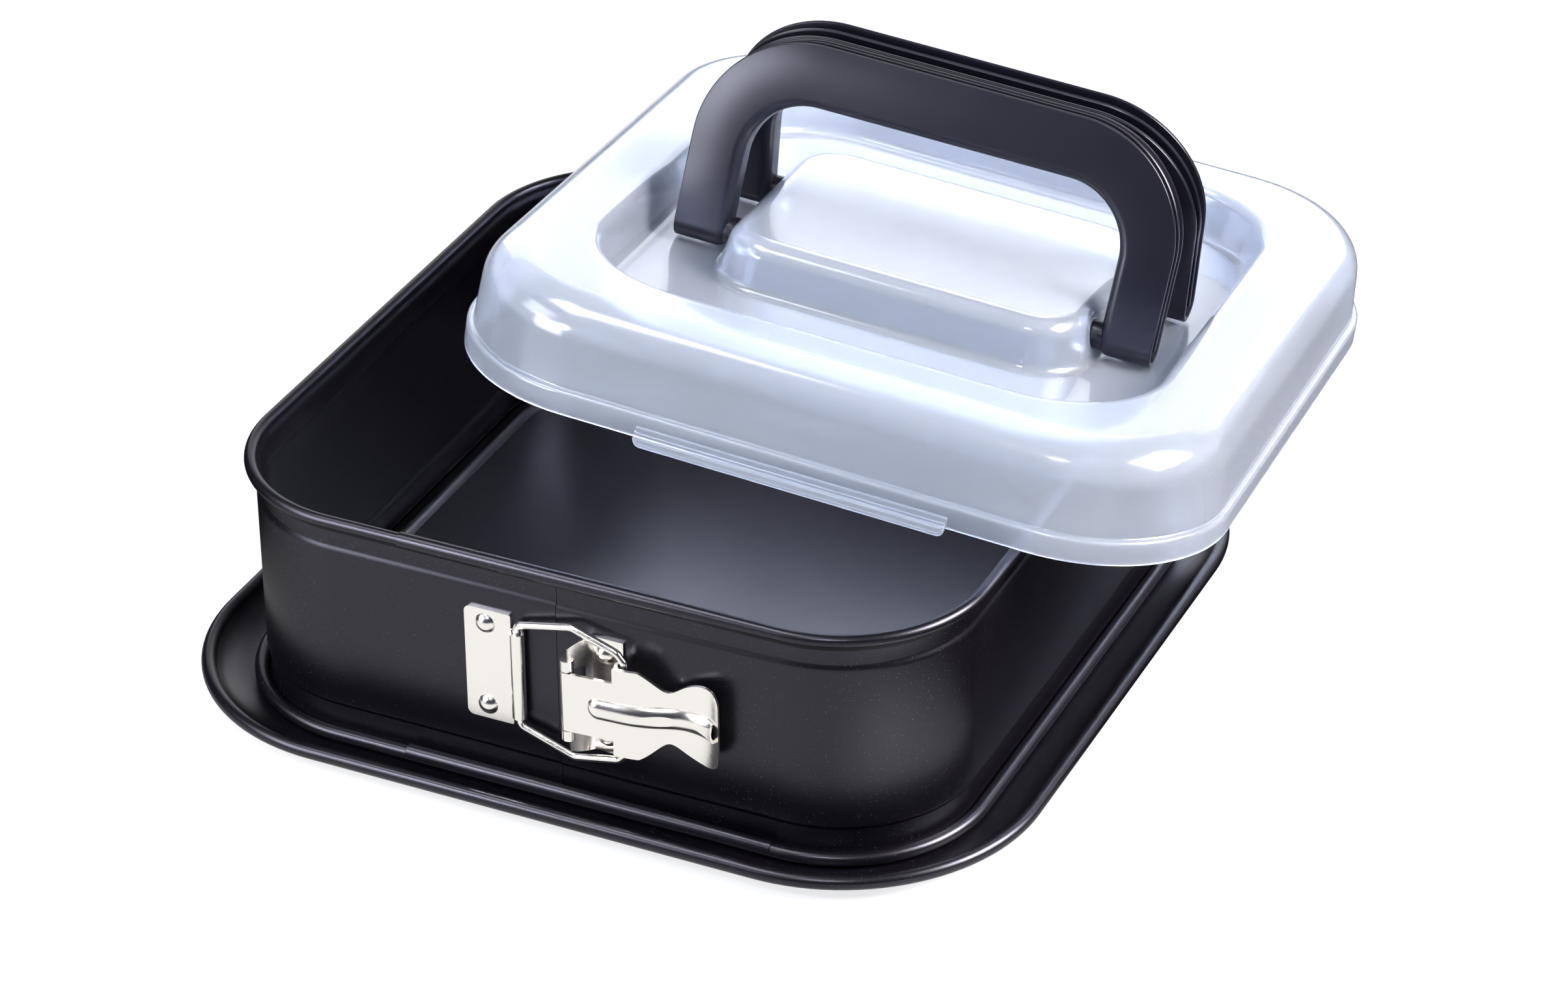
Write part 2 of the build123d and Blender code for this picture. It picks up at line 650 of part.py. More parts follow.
# ------------------------------------------------------------------ the whole carrier
def make_parts():
    parts = {
        "base_tray": base_tray(),
        "ring_band": ring_band(),
        "anchor_plate": anchor_plate(),
        "lever_bracket": lever_bracket(),
        "lever_pin": lever_pin(),
        "latch_lever": latch_lever(),
        "bail_wire": bail_wire(),
        "lid_shell": lid_place * lid_shell(),
        "front_handle": placed_handle(-1),
        "rear_handle": placed_handle(1),
    }
    for name, side in (("lower", -1), ("upper", 1)):
        parts[f"anchor_rivet_{name}"] = rivet(anchor_rivet_x, side, 0)
        parts[f"bracket_rivet_{name}"] = rivet(bracket_rivet_x, side, lap_step)
    return parts


os.makedirs("parts", exist_ok=True)
for node, solid in make_parts().items():
    export_step(solid, f"parts/{node}.step")
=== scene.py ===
"""Looks of the square springform carrier: pan, tray, latch, lid and folding handles.

Lengths are millimetres times MM.  Every piece is modelled at rest, in the part's own frame:
+Z up, the latch wall facing -Y, the origin in the middle of the tray's underside.
"""
import bpy
import json
import math
from collections import Counter
from mathutils import Matrix, Vector

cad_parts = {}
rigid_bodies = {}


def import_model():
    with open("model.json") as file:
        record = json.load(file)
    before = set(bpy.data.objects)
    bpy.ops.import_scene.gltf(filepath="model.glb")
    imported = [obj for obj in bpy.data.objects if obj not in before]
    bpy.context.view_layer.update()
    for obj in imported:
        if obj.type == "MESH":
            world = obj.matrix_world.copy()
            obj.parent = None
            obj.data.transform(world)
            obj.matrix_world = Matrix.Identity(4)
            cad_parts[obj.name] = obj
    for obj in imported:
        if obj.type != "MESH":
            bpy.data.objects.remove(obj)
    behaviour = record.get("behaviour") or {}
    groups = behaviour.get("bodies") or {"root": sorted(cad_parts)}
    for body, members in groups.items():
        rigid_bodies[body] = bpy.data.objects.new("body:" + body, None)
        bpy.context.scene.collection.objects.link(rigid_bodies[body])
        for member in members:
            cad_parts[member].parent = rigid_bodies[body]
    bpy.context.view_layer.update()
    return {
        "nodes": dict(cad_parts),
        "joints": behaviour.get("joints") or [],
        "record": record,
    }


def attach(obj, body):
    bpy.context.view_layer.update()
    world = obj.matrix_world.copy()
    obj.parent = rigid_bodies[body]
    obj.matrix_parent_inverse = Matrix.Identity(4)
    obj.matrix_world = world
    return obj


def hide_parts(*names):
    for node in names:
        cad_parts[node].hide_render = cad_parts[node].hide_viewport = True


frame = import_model()

MM = 0.001
NEAR = 0.001 * MM                # two places closer than this are the same
MERGE = 0.01 * MM                # mirrored halves are joined within this distance
OVERLAP = 0.2 * MM               # how far a cutter or an added form reaches past a face
SHARP = math.radians(35)         # edges sharper than this stay crisp

# ------------------------------------------------------------------ pan
SHEET = 0.8 * MM                 # coated sheet steel
RIM_HALF = 122.25 * MM           # middle of the pan to the centreline of its rolled rim
CORNER = 46.3 * MM               # plan radius of that centreline
RIM = 2.0 * MM                   # radius of the rolled rim
BEAD = 2.2 * MM                  # radius of the rolled foot bead
BEAD_OUT = 1.1 * MM              # its centre, outside the rim's centreline
FOOT_Z = 1.1 * MM                # underside of the foot bead, above the table
RIM_Z = FOOT_Z + 79.9 * MM
BEAD_Z = FOOT_Z + BEAD
WALL = -1.3 * MM                 # outer face of the main wall, from the rim's centreline
GROOVE = WALL - 1.2 * MM         # outer face of the foot groove
NECK = WALL - 0.8 * MM           # outer face of the neck
LEDGE = NECK + 0.9 * MM          # free edge of the rolled rim
SHOULDER_Z = RIM_Z - 9.5 * MM
LEDGE_Z = RIM_Z - 4.2 * MM
GROOVE_Z = FOOT_Z + 13.0 * MM
STEP = 2.5 * MM                  # height over which the wall steps in or out
SEAM_X = 2.1 * MM                # edge of the outer sheet at the overlap
SEAM_GAP = 0.5 * MM              # width of the line beside that edge
SEAM_DEPTH = 0.65 * MM
LAP = 0.6 * MM                   # how far the outer sheet stands out
LAP_FOOT_Z = BEAD_Z + 1.0 * MM   # its lower edge
LAP_FLAT = 32.0 * MM             # it keeps its full step over this length,
LAP_FADE = 40.0 * MM             # and fades out over this one
LAP_END = 0.04 * MM              # what is left of the step where it has faded out
SLEEVE_LEFT = -50.4 * MM         # left end of the sleeves round the rolled edges
SLEEVE = 0.45 * MM               # their thickness,
SLEEVE_END = 0.02 * MM           # and what is left of it at the right end
CORNER_STEPS = 28                # steps round each corner of the pan

# ------------------------------------------------------------------ tray
TRAY_RIM = 2.3 * MM              # radius of the tray's rolled rim
TRAY_RIM_OUT = 17.8 * MM         # its centre, outside the ring rim's centreline,
TRAY_RIM_Z = 6.85 * MM           # and above the table
TRAY_FLOOR = -22.0 * MM          # the tray's floor is one flat face inside this
FLANGE = 4.6 * MM                # the flat channel ends here, outside the rim's centreline
RIB_START = -9.5 * MM            # the rib that centres the ring, from the rim's centreline
RIB_END = -3.9 * MM
RIB = 2.0 * MM                   # its height
# the middle of the dished flange, from its start
FLANGE_DISH = Vector((6.6, 1.9)) * MM

# ------------------------------------------------------------------ lid
LID_WALL = 1.4 * MM
LID_HALF = 126.0 * MM            # skirt's outer face
LID_CORNER = 50.05 * MM
SKIRT = 8.0 * MM                 # its height
SKIRT_STEP = 2.1 * MM            # the dome stands this far inside the skirt
SKIRT_ROUND = 1.5 * MM
STEP_ROUND = 0.5 * MM            # where the dome's wall rises from the step
DOME = 36.0 * MM                 # top of the lid, above the skirt's lower edge
DOME_DRAFT = math.radians(4.5)
DOME_ROUND = 14.0 * MM
RECESS_HALF = 93.5 * MM          # at the lip
RECESS_CORNER = 38.0 * MM
RECESS_FLOOR = 19.6 * MM         # above the skirt's lower edge
RECESS_DRAFT = math.radians(12.5)
RECESS_LIP_ROUND = 4.5 * MM
RECESS_FLOOR_ROUND = 4.0 * MM
ISLAND_HALF = Vector((62.5, 48.0)) * MM  # at its foot
ISLAND_CORNER = 19.0 * MM
ISLAND_DRAFT = math.radians(12.0)
ISLAND_ROUND = 7.0 * MM
ISLAND_FOOT_ROUND = 3.5 * MM
LID_STEPS = 24                   # steps round each corner of the lid
TAB_HALF = 51.0 * MM             # half the lifting tab's length
TAB_TOP = 3.9 * MM               # above the skirt's lower edge
TAB_DROP = 2.2 * MM              # below it
TAB_OUT = 2.6 * MM               # out of the skirt's face
TAB_CORNER = 2.4 * MM

# ------------------------------------------------------------------ handles
HANDLE_HALF = 81.5 * MM          # half a handle's width
HANDLE_LEG = 17.8 * MM           # width of a leg
HANDLE_BAR = 20.6 * MM           # height of the bar
HANDLE_REACH = 67.56 * MM        # from the pivots to the top of the bar
HANDLE_THICK = 11.5 * MM
HANDLE_CORNER = 38.0 * MM
HANDLE_INNER_CORNER = 21.0 * MM
HANDLE_WALL = 1.5 * MM
HANDLE_GROOVE = 11.0 * MM        # depth of the grooves in the outer side
HANDLE_SOFT_EDGE = 3.4 * MM      # round of the edges that the hand holds
HANDLE_EDGE = 0.3 * MM           # bevel of the ridges between the grooves
HANDLE_SIDE_ROUND = 0.45 * MM    # round of the outer edges
HANDLE_STEPS = 24                # steps round each corner of a handle
PIVOT_SPREAD = 40.0 * MM         # between the two handles' axes
PIVOT_Z = 25.95 * MM             # above the skirt's lower edge
POCKET_X = 59.35 * MM            # bottom of the pocket in the island's end wall
POCKET_RADIUS = 5.1 * MM
BOSS_RADIUS = 4.7 * MM
BOSS_PLAY = 0.4 * MM             # between a boss and the bottom of its pocket
BOSS_ROUND = 0.6 * MM
PEG_RADIUS = 2.5 * MM
PEG_LENGTH = 3.0 * MM
EYE_RADIUS = 6.7 * MM            # the thick place behind a pocket, which bears the peg
EYE_DEPTH = 3.4 * MM
BORE_RADIUS = 2.6 * MM

# ------------------------------------------------------------------ finishes
FLECK_SIZE = 0.28                # of a cell of the fleck pattern
COATING_ROUGH = 0.31
BAKING_TOP = 4 * MM              # the baking surface lies below this height
BAKING_ROUGH = 0.06              # added on the baking surface
BAKING_GLOSS = 0.75
NICKEL_ROUGH = 0.14
NICKEL_GRAIN = 0.14
HANDLE_ROUGH = 0.30
LID_ROUGH = 0.14

# ------------------------------------------------------------------ stage
MIDDLE = (0, 0, 0.08)            # the lamps aim at this place, in metres
WHITE = (1, 1, 1)
COOL = (0.93, 0.94, 1.0)
# name, place, aim, size, power, colour
LAMPS = (
    ("backdrop_card", (-0.5, 2.1, 0.78), MIDDLE, (3.2, 1.35), 19, WHITE),
    ("key_softbox", (0.25, -1.0, 1.3), MIDDLE, (0.26, 0.07), 7, WHITE),
    ("top_softbox", (-0.5, -0.4, 1.6), MIDDLE, (0.7, 0.45), 12, WHITE),
    ("right_softbox", (1.4, 0.35, 1.1), MIDDLE, (1.0, 0.8), 120, (1.0, 0.95, 0.93)),
    ("left_softbox", (-1.1, -0.85, 0.95), MIDDLE, (0.7, 0.6), 7, WHITE),
    ("corner_card", (-0.19, -0.41, 0.295), (-0.03, 0.05, 0.165), (0.07, 0.07), 0.75, COOL),
    ("side_card", (-0.35, -0.48, 0.25), (-0.05, 0, 0.12), (0.24, 0.26), 2.0, COOL))
FLOOR_SEEN = 0.75                # share of plain white in the floor that the camera sees
WORLD_TINT = (0.52, 0.61, 1.0, 1)
GLOSSY_DIM = -0.95               # taken off the world's strength in reflections
THROUGH_LID = 4.2                # the world's strength behind the lid

# painted light for reflections: the floor glows pale in front and is painted dark at the back, so the
# pieces reflect painted light and shade
GLOW_RANGE = (0.008, 0.95)       # darkest and brightest of the painted glow on the floor, which only reflections see
GLOW_START = 0.45
GLOW_FALL = -5.0                 # per metre towards the back
GLOW_SIDE = 0.7                  # a metre sideways counts as this much towards the back
# painted bright spots on the floor, seen only in reflections, which put painted highlights on the pan:
# place, brightness in its middle, change per metre away from it
PAINTED_GLOW_SPOTS = (((0.165, -0.145, 0), 2.0, -17.0), ((-0.3, 0.45, 0), 1.0, -3.0))


# ------------------------------------------------------------------ shader helpers
def add_node(tree, kind, **values):
    """A new node with its plain settings and unlinked inputs given by name."""
    node = tree.nodes.new(kind)
    for name, value in values.items():
        if name in node.inputs:
            node.inputs[name].default_value = value
        else:
            setattr(node, name, value)
    return node


def math_node(tree, operation, a, b=None):
    node = tree.nodes.new("ShaderNodeMath")
    node.operation = operation
    for socket, value in zip(node.inputs, (a, b)):
        if value is None:
            continue
        if isinstance(value, (int, float)):
            socket.default_value = value
        else:
            tree.links.new(value, socket)
    return node.outputs[0]


def vector_node(tree, operation, a, b=None, result="Vector"):
    node = add_node(tree, "ShaderNodeVectorMath", operation=operation)
    tree.links.new(a, node.inputs[0])
    if b is not None:
        node.inputs[1].default_value = b
    return node.outputs[result]


def split_vector(tree, vector):
    """The outputs X, Y and Z of a vector."""
    parts = tree.nodes.new("ShaderNodeSeparateXYZ")
    tree.links.new(vector, parts.inputs[0])
    return parts.outputs


def make_group(name, inputs, outputs):
    group = bpy.data.node_groups.new(name, "ShaderNodeTree")
    for label, kind, value in inputs:
        socket = group.interface.new_socket(name=label, in_out="INPUT", socket_type=kind)
        if value is not None:
            socket.default_value = value
    for label, kind in outputs:
        group.interface.new_socket(name=label, in_out="OUTPUT", socket_type=kind)
    return group, group.nodes.new("NodeGroupInput"), group.nodes.new("NodeGroupOutput")


def make_mottle_group():
    """Slow unevenness of a surface: a value round zero, for roughness and colour."""
    group, given, out = make_group(
        "mottle", [("Vector", "NodeSocketVector", None), ("Size", "NodeSocketFloat", 40.0),
                   ("Amount", "NodeSocketFloat", 0.1)], [("Value", "NodeSocketFloat")])
    noise = add_node(group, "ShaderNodeTexNoise", Detail=4.0, Roughness=0.6)
    group.links.new(given.outputs["Vector"], noise.inputs["Vector"])
    group.links.new(given.outputs["Size"], noise.inputs["Scale"])
    centred = math_node(group, "SUBTRACT", noise.outputs["Fac"], 0.5)
    group.links.new(math_node(group, "MULTIPLY", centred, given.outputs["Amount"]), out.inputs["Value"])
    return group


def make_fleck_group():
    """Sparse fine flecks, such as pigment in a baked coating: a mask from 0 to 1."""
    group, given, out = make_group(
        "flecks", [("Vector", "NodeSocketVector", None), ("Density", "NodeSocketFloat", 900.0),
                   ("Share", "NodeSocketFloat", 0.1)], [("Mask", "NodeSocketFloat")])
    cells = add_node(group, "ShaderNodeTexVoronoi")
    group.links.new(given.outputs["Vector"], cells.inputs["Vector"])
    group.links.new(given.outputs["Density"], cells.inputs["Scale"])
    near = math_node(group, "LESS_THAN", cells.outputs["Distance"], FLECK_SIZE)
    parts = add_node(group, "ShaderNodeSeparateColor")
    group.links.new(cells.outputs["Color"], parts.inputs["Color"])
    chosen = math_node(group, "LESS_THAN", parts.outputs[0], given.outputs["Share"])
    both = math_node(group, "MULTIPLY", near, chosen)
    group.links.new(math_node(group, "MULTIPLY", both, parts.outputs[1]), out.inputs["Mask"])
    return group


MOTTLE = make_mottle_group()
FLECKS = make_fleck_group()


def place_group(tree, group, vector, **values):
    node = tree.nodes.new("ShaderNodeGroup")
    node.node_tree = group
    tree.links.new(vector, node.inputs["Vector"])
    for name, value in values.items():
        node.inputs[name].default_value = value
    return node.outputs[0]


def start_material(name, **values):
    material = bpy.data.materials.new(name)
    material.use_nodes = True
    tree = material.node_tree
    shader = tree.nodes["Principled BSDF"]
    for label, value in values.items():
        shader.inputs[label.replace("_", " ")].default_value = value
    where = tree.nodes.new("ShaderNodeTexCoord").outputs["Object"]
    return material, tree, shader, where


def blend_colours(tree, mask, first, second):
    mix = tree.nodes.new("ShaderNodeMix")
    mix.data_type = "RGBA"
    mix.inputs["A"].default_value = (*first, 1)
    mix.inputs["B"].default_value = (*second, 1)
    tree.links.new(mask, mix.inputs["Factor"])
    return mix.outputs["Result"]


def add_bump(tree, shader, height, distance, strength):
    bump = add_node(tree, "ShaderNodeBump", Distance=distance, Strength=strength)
    tree.links.new(height, bump.inputs["Height"])
    tree.links.new(bump.outputs["Normal"], shader.inputs["Normal"])


# ------------------------------------------------------------------ materials
def inside_ring(tree, where):
    """1 on the tray's floor inside the ring, and 0 elsewhere."""
    straight = RIM_HALF - CORNER
    across = vector_node(tree, "SUBTRACT", vector_node(tree, "ABSOLUTE", where), (straight, straight, 0))
    past_straight = vector_node(tree, "MAXIMUM", across, (0, 0, 0))
    level = vector_node(tree, "MULTIPLY", past_straight, (1, 1, 0))
    reach = vector_node(tree, "LENGTH", level, result="Value")
    near = math_node(tree, "LESS_THAN", reach, CORNER + GROOVE)
    low = math_node(tree, "LESS_THAN", split_vector(tree, where)["Z"], BAKING_TOP)
    return math_node(tree, "MULTIPLY", near, low)


def coating_material():
    """Satin black non-stick coating with fine pale flecks, and a soft gloss on the baking surface."""
    material, tree, shader, where = start_material(
        "pan coating", Specular_IOR_Level=0.54, Specular_Tint=(0.84, 0.83, 1.0, 1),
        Coat_Roughness=0.34, Coat_IOR=1.55)
    flecks = place_group(tree, FLECKS, where, Density=2000.0, Share=0.09)
    tree.links.new(blend_colours(tree, flecks, (0.0014, 0.0011, 0.002), (0.045, 0.045, 0.055)),
                   shader.inputs["Base Color"])
    uneven = place_group(tree, MOTTLE, where, Size=14.0, Amount=0.06)
    inside = inside_ring(tree, where)
    rough = math_node(tree, "ADD", math_node(tree, "ADD", uneven, COATING_ROUGH),
                      math_node(tree, "MULTIPLY", inside, BAKING_ROUGH))
    tree.links.new(rough, shader.inputs["Roughness"])
    tree.links.new(math_node(tree, "MULTIPLY", inside, BAKING_GLOSS), shader.inputs["Coat Weight"])
    grain = add_node(tree, "ShaderNodeTexNoise", Scale=1600.0, Detail=2.0)
    tree.links.new(where, grain.inputs["Vector"])
    add_bump(tree, shader, grain.outputs["Fac"], 0.02 * MM, 0.5)
    return material


def nickel_material():
    """Bright warm nickel plate with a slight grain from the rolled strip."""
    material, tree, shader, where = start_material("nickel plate", Metallic=1.0)
    shader.inputs["Base Color"].default_value = (0.96, 0.93, 0.885, 1)
    stretch = add_node(tree, "ShaderNodeMapping", Scale=(40.0, 400.0, 900.0))
    tree.links.new(where, stretch.inputs["Vector"])
    grain = add_node(tree, "ShaderNodeTexNoise", Scale=2.0, Detail=3.0)
    tree.links.new(stretch.outputs["Vector"], grain.inputs["Vector"])
    uneven = place_group(tree, MOTTLE, where, Size=90.0, Amount=0.12)
    fine = math_node(tree, "MULTIPLY", grain.outputs["Fac"], NICKEL_GRAIN)
    base = math_node(tree, "ADD", fine, NICKEL_ROUGH)
    tree.links.new(math_node(tree, "ADD", base, uneven), shader.inputs["Roughness"])
    add_bump(tree, shader, grain.outputs["Fac"], 0.01 * MM, 0.4)
    return material


def handle_material():
    """Satin black moulded plastic."""
    material, tree, shader, where = start_material(
        "handle plastic", Specular_IOR_Level=0.44, Specular_Tint=(0.88, 0.88, 1.0, 1))
    smudge = place_group(tree, MOTTLE, where, Size=30.0, Amount=0.5)
    shade = math_node(tree, "ADD", smudge, 0.5)
    tree.links.new(blend_colours(tree, shade, (0.004, 0.004, 0.007), (0.007, 0.007, 0.011)),
                   shader.inputs["Base Color"])
    uneven = place_group(tree, MOTTLE, where, Size=22.0, Amount=0.10)
    tree.links.new(math_node(tree, "ADD", uneven, HANDLE_ROUGH), shader.inputs["Roughness"])
    grain = add_node(tree, "ShaderNodeTexNoise", Scale=2200.0, Detail=2.0)
    tree.links.new(where, grain.inputs["Vector"])
    add_bump(tree, shader, grain.outputs["Fac"], 0.01 * MM, 0.3)
    return material


def lid_material():
    """Milky translucent plastic."""
    material, tree, shader, where = start_material(
        "lid plastic", IOR=1.45, Transmission_Weight=0.88, Subsurface_Weight=1.0, Subsurface_Scale=0.004,
        Coat_Weight=0.3, Coat_Roughness=0.04)
    shader.inputs["Subsurface Radius"].default_value = (1, 1, 1)
    cloud = place_group(tree, MOTTLE, where, Size=12.0, Amount=0.6)
    shade = math_node(tree, "ADD", cloud, 0.5)
    tree.links.new(blend_colours(tree, shade, (0.745, 0.81, 0.98), (0.80, 0.86, 1.0)),
                   shader.inputs["Base Color"])
    uneven = place_group(tree, MOTTLE, where, Size=18.0, Amount=0.04)
    tree.links.new(math_node(tree, "ADD", uneven, LID_ROUGH), shader.inputs["Roughness"])
    return material


COATING = coating_material()
NICKEL = nickel_material()
BLACK = handle_material()
MILKY = lid_material()


# ------------------------------------------------------------------ camera, floor and light
def make_camera():
    """A long lens, up in front and a little from the right."""
    azimuth = math.radians(25.071)
    elevation = math.radians(31.503)
    roll = math.radians(-0.321)
    aim = Vector((-6.723, 59.756, 6.85)) * MM
    distance = 1656.446 * MM
    back = Vector((math.sin(azimuth) * math.cos(elevation), -math.cos(azimuth) * math.cos(elevation),
                   math.sin(elevation)))
    level = Vector((math.cos(azimuth), math.sin(azimuth), 0))
    rise = back.cross(level)
    across = level * math.cos(roll) + rise * math.sin(roll)
    upward = rise * math.cos(roll) - level * math.sin(roll)
    data = bpy.data.cameras.new("camera")
    data.sensor_width = 36
    data.lens = 113.02
    data.clip_start = 0.05
    data.clip_end = 30
    camera = bpy.data.objects.new("camera", data)
    bpy.context.scene.collection.objects.link(camera)
    turn = Matrix((across, upward, back)).transposed().to_4x4()
    camera.matrix_world = Matrix.Translation(aim + back * distance) @ turn
    bpy.context.scene.camera = camera


def softbox(name, place, aim, size, power, colour):
    data = bpy.data.lights.new(name, "AREA")
    data.shape = "RECTANGLE"
    data.size, data.size_y = size
    data.energy = power
    data.color = colour
    lamp = bpy.data.objects.new(name, data)
    bpy.context.scene.collection.objects.link(lamp)
    lamp.location = place
    lamp.visible_camera = False
    lamp.rotation_euler = (Vector(aim) - Vector(place)).to_track_quat("-Z", "Y").to_euler()


def make_lights():
    for name, place, aim, size, power, colour in LAMPS:
        softbox(name, place, aim, size, power, colour)


def ray_mask(tree, shares):
    """How much of the plain white a ray sees, by its kind."""
    path = tree.nodes.new("ShaderNodeLightPath")
    total = 0.0
    for kind, share in shares.items():
        seen = math_node(tree, "MULTIPLY", path.outputs[kind], share)
        total = math_node(tree, "MAXIMUM", seen, total)
    return total


def make_world():
    """The studio's walls: dim and cool where they light the pieces, and darker in reflections.

    They are white where they are seen, and brighter still through the lid.
    """
    world = bpy.data.worlds.new("studio")
    bpy.context.scene.world = world
    world.use_nodes = True
    tree = world.node_tree
    tree.nodes.clear()
    path = tree.nodes.new("ShaderNodeLightPath")
    dark = math_node(tree, "MULTIPLY", path.outputs["Is Glossy Ray"], GLOSSY_DIM)
    dim = add_node(tree, "ShaderNodeBackground", Color=WORLD_TINT)
    tree.links.new(math_node(tree, "ADD", dark, 1.0), dim.inputs["Strength"])
    white = add_node(tree, "ShaderNodeBackground", Color=(1, 1, 1, 1))
    through = math_node(tree, "MULTIPLY", path.outputs["Is Transmission Ray"], THROUGH_LID)
    tree.links.new(math_node(tree, "MAXIMUM", through, 1.0), white.inputs["Strength"])
    mix = tree.nodes.new("ShaderNodeMixShader")
    out = tree.nodes.new("ShaderNodeOutputWorld")
    mask = ray_mask(tree, {"Is Camera Ray": 1.0, "Is Transmission Ray": 1.0})
    tree.links.new(mask, mix.inputs[0])
    tree.links.new(dim.outputs[0], mix.inputs[1])
    tree.links.new(white.outputs[0], mix.inputs[2])
    tree.links.new(mix.outputs[0], out.inputs["Surface"])


def painted_floor_glow(tree):
    """The floor as reflections see it: a painted glow, pale in front and painted dark at the back, with
    two painted bright spots that put painted highlights on the pieces.
    """
    path = tree.nodes.new("ShaderNodeLightPath")
    where = tree.nodes.new("ShaderNodeTexCoord").outputs["Object"]
    parts = split_vector(tree, where)
    side = math_node(tree, "ABSOLUTE", parts["X"])
    diagonal = math_node(tree, "ADD", math_node(tree, "MULTIPLY", side, GLOW_SIDE), parts["Y"])
    glow = math_node(tree, "ADD", math_node(tree, "MULTIPLY", diagonal, GLOW_FALL), GLOW_START)
    darkest, brightest = GLOW_RANGE
    glow = math_node(tree, "MINIMUM", math_node(tree, "MAXIMUM", glow, darkest), brightest)
    # painted bright spots on the floor, which show as painted highlights in reflections
    for place, peak, fall in PAINTED_GLOW_SPOTS:
        away = vector_node(tree, "DISTANCE", where, place, "Value")
        spot = math_node(tree, "ADD", math_node(tree, "MULTIPLY", away, fall), peak)
        glow = math_node(tree, "MAXIMUM", glow, spot)
    direct = math_node(tree, "SUBTRACT", 1.0, path.outputs["Is Glossy Ray"])
    return math_node(tree, "MAXIMUM", glow, direct)


def make_floor():
    bpy.ops.mesh.primitive_plane_add(size=12, location=(0, 0, 0))
    floor = bpy.context.object
    floor.name = "studio_floor"
    material = bpy.data.materials.new("pale floor")
    material.use_nodes = True
    tree = material.node_tree
    shader = tree.nodes["Principled BSDF"]
    shader.inputs["Base Color"].default_value = (0.92, 0.92, 0.92, 1)
    shader.inputs["Roughness"].default_value = 0.9
    white = tree.nodes.new("ShaderNodeEmission")
    tree.links.new(painted_floor_glow(tree), white.inputs["Strength"])
    mix = tree.nodes.new("ShaderNodeMixShader")
    mask = ray_mask(tree, {"Is Camera Ray": FLOOR_SEEN, "Is Glossy Ray": 1.0,
                           "Is Transmission Ray": 1.0})
    tree.links.new(mask, mix.inputs[0])
    tree.links.new(shader.outputs[0], mix.inputs[1])
    tree.links.new(white.outputs[0], mix.inputs[2])
    tree.links.new(mix.outputs[0], tree.nodes["Material Output"].inputs["Surface"])
    floor.data.materials.append(material)


# ------------------------------------------------------------------ modelling helpers
def deselect_mesh(mesh):
    for items in (mesh.vertices, mesh.edges, mesh.polygons):
        items.foreach_set("select", [False] * len(items))


def pick(kind, test):
    """Selects the vertices, edges or faces that pass the test, and leaves edit mode on."""
    bpy.ops.object.mode_set(mode="OBJECT")
    mesh = bpy.context.object.data
    deselect_mesh(mesh)
    corners = mesh.vertices
    if kind == "VERT":
        for vertex in corners:
            vertex.select = test(vertex.co)
    elif kind == "EDGE":
        for edge in mesh.edges:
            edge.select = test(corners[edge.vertices[0]].co, corners[edge.vertices[1]].co)
    else:
        for face in mesh.polygons:
            face.select = test(face.center, face.normal)
    bpy.context.tool_settings.mesh_select_mode = (kind == "VERT", kind == "EDGE", kind == "FACE")
    bpy.ops.object.mode_set(mode="EDIT")


def pick_numbers(numbers):
    """Selects vertices by number."""
    mesh = bpy.context.object.data
    deselect_mesh(mesh)
    for vertex in mesh.vertices:
        vertex.select = vertex.index in numbers
    bpy.context.tool_settings.mesh_select_mode = (True, False, False)
    bpy.ops.object.mode_set(mode="EDIT")


def pick_open_edges(axis, place):
    """Selects the open edges that lie in one plane across an axis."""
    bpy.ops.object.mode_set(mode="OBJECT")
    mesh = bpy.context.object.data
    deselect_mesh(mesh)
    uses = Counter(key for face in mesh.polygons for key in face.edge_keys)
    for edge in mesh.edges:
        ends = [mesh.vertices[i].co[axis] for i in edge.vertices]
        edge.select = uses[edge.key] == 1 and all(abs(end - place) < NEAR for end in ends)
    bpy.context.tool_settings.mesh_select_mode = (False, True, False)
    bpy.ops.object.mode_set(mode="EDIT")


def start(name, primitive, **values):
    """Adds a primitive and opens it in edit mode, selected all over."""
    bpy.ops.object.select_all(action="DESELECT")
    primitive(**values)
    piece = bpy.context.object
    piece.name = name
    bpy.ops.object.transform_apply(location=True, rotation=True, scale=True)
    bpy.ops.object.mode_set(mode="EDIT")
    bpy.context.tool_settings.mesh_select_mode = (True, False, False)
    bpy.ops.mesh.select_all(action="SELECT")
    return piece


def clear_start(name):
    """An empty mesh in edit mode, to which outlines are added."""
    piece = start(name, bpy.ops.mesh.primitive_plane_add, size=MM)
    bpy.ops.mesh.delete(type="VERT")
    return piece


def extend(offset):
    bpy.ops.mesh.extrude_region_move(TRANSFORM_OT_translate={"value": offset})


def add_modifier(piece, kind, **values):
    """Adds a modifier and applies it at once."""
    bpy.ops.object.mode_set(mode="OBJECT")
    bpy.ops.object.select_all(action="DESELECT")
    piece.select_set(True)
    bpy.context.view_layer.objects.active = piece
    modifier = piece.modifiers.new(kind.lower(), kind)
    for name, value in values.items():
        setattr(modifier, name, value)
    bpy.ops.object.modifier_apply(modifier=modifier.name)


def cut_with(piece, tool, operation):
    add_modifier(piece, "BOOLEAN", object=tool, operation=operation, solver="EXACT")
    bpy.data.objects.remove(tool)


